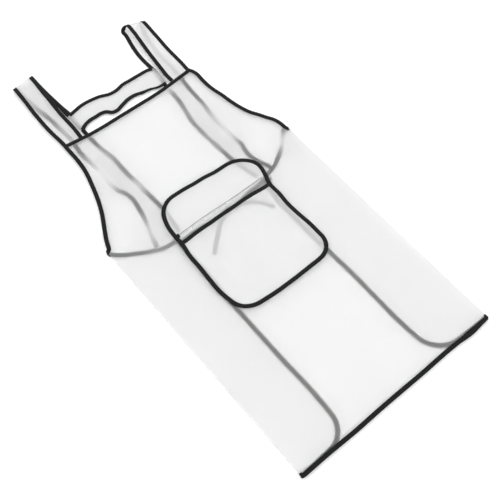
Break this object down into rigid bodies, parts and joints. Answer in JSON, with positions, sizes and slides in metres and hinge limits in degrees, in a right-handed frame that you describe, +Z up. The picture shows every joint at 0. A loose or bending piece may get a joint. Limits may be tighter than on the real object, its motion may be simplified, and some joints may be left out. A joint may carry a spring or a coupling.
{
  "type": "salon bib apron",
  "caption": "Translucent film bib apron lying flat, with bound edges, shoulder straps joined by a back band, wrap-around back wings, knotted waist ties and a pouch pocket with a turned-up flap.",
  "frame": {"origin": "centre of the bounding box's bottom face, on the table under the back wings", "axes": "+Z up out of the apron's front as it lies on its back, +Y from the hem towards the shoulder straps, +X across it to the viewer's right when its front is looked at with the straps at the top"},
  "size_m": [0.45, 0.9999, 0.0146],
  "materials": {
    "frosted_film": "frosted translucent",
    "binding_tape": "woven matte",
    "tie_tape": "woven matte"
  },
  "bodies": {
    "apron": {"back_band": "frosted_film", "band_lower_binding": "binding_tape", "band_upper_binding": "binding_tape", "bib_top_binding": "binding_tape", "flap_root": "frosted_film", "front_hem_binding": "binding_tape", "front_sheet": "frosted_film", "left_armhole_binding": "binding_tape", "left_front_strap": "frosted_film", "left_front_strap_inner_binding": "binding_tape", "left_front_strap_outer_binding": "binding_tape", "left_rear_strap": "frosted_film", "left_rear_strap_inner_binding": "binding_tape", "left_rear_strap_outer_binding": "binding_tape", "left_tie_tail": "tie_tape", "left_waist_tie": "tie_tape", "left_wing": "frosted_film", "left_wing_edge_binding": "binding_tape", "left_wing_top_binding": "binding_tape", "pocket_binding": "binding_tape", "pocket_mouth_binding": "binding_tape", "pocket_panel": "frosted_film", "right_armhole_binding": "binding_tape", "right_front_strap": "frosted_film", "right_front_strap_inner_binding": "binding_tape", "right_front_strap_outer_binding": "binding_tape", "right_rear_strap": "frosted_film", "right_rear_strap_inner_binding": "binding_tape", "right_rear_strap_outer_binding": "binding_tape", "right_tie_tail": "tie_tape", "right_waist_tie": "tie_tape", "right_wing": "frosted_film", "right_wing_edge_binding": "binding_tape", "right_wing_top_binding": "binding_tape", "waist_knot": "tie_tape"},
    "flap": {"pocket_flap": "frosted_film", "flap_binding": "binding_tape"},
    "left_loop": {"left_strap_loop": "frosted_film", "left_strap_loop_inner_binding": "binding_tape", "left_strap_loop_outer_binding": "binding_tape"},
    "right_loop": {"right_strap_loop": "frosted_film", "right_strap_loop_inner_binding": "binding_tape", "right_strap_loop_outer_binding": "binding_tape"}
  },
  "joints": [
    {"name": "flap_hinge", "type": "hinge", "parent": "apron", "child": "flap", "pos_m": [0, -0.013, 0.0103], "axis": [1, 0, 0], "range_deg": [0, 172]},
    {"name": "left_strap_fold", "type": "hinge", "parent": "apron", "child": "left_loop", "pos_m": [-0.137, 0.375, 0.0072], "axis": [1, 0, 0], "range_deg": [0, 170]},
    {"name": "right_strap_fold", "type": "hinge", "parent": "apron", "child": "right_loop", "pos_m": [0.137, 0.375, 0.0072], "axis": [1, 0, 0], "range_deg": [0, 170]}
  ]
}
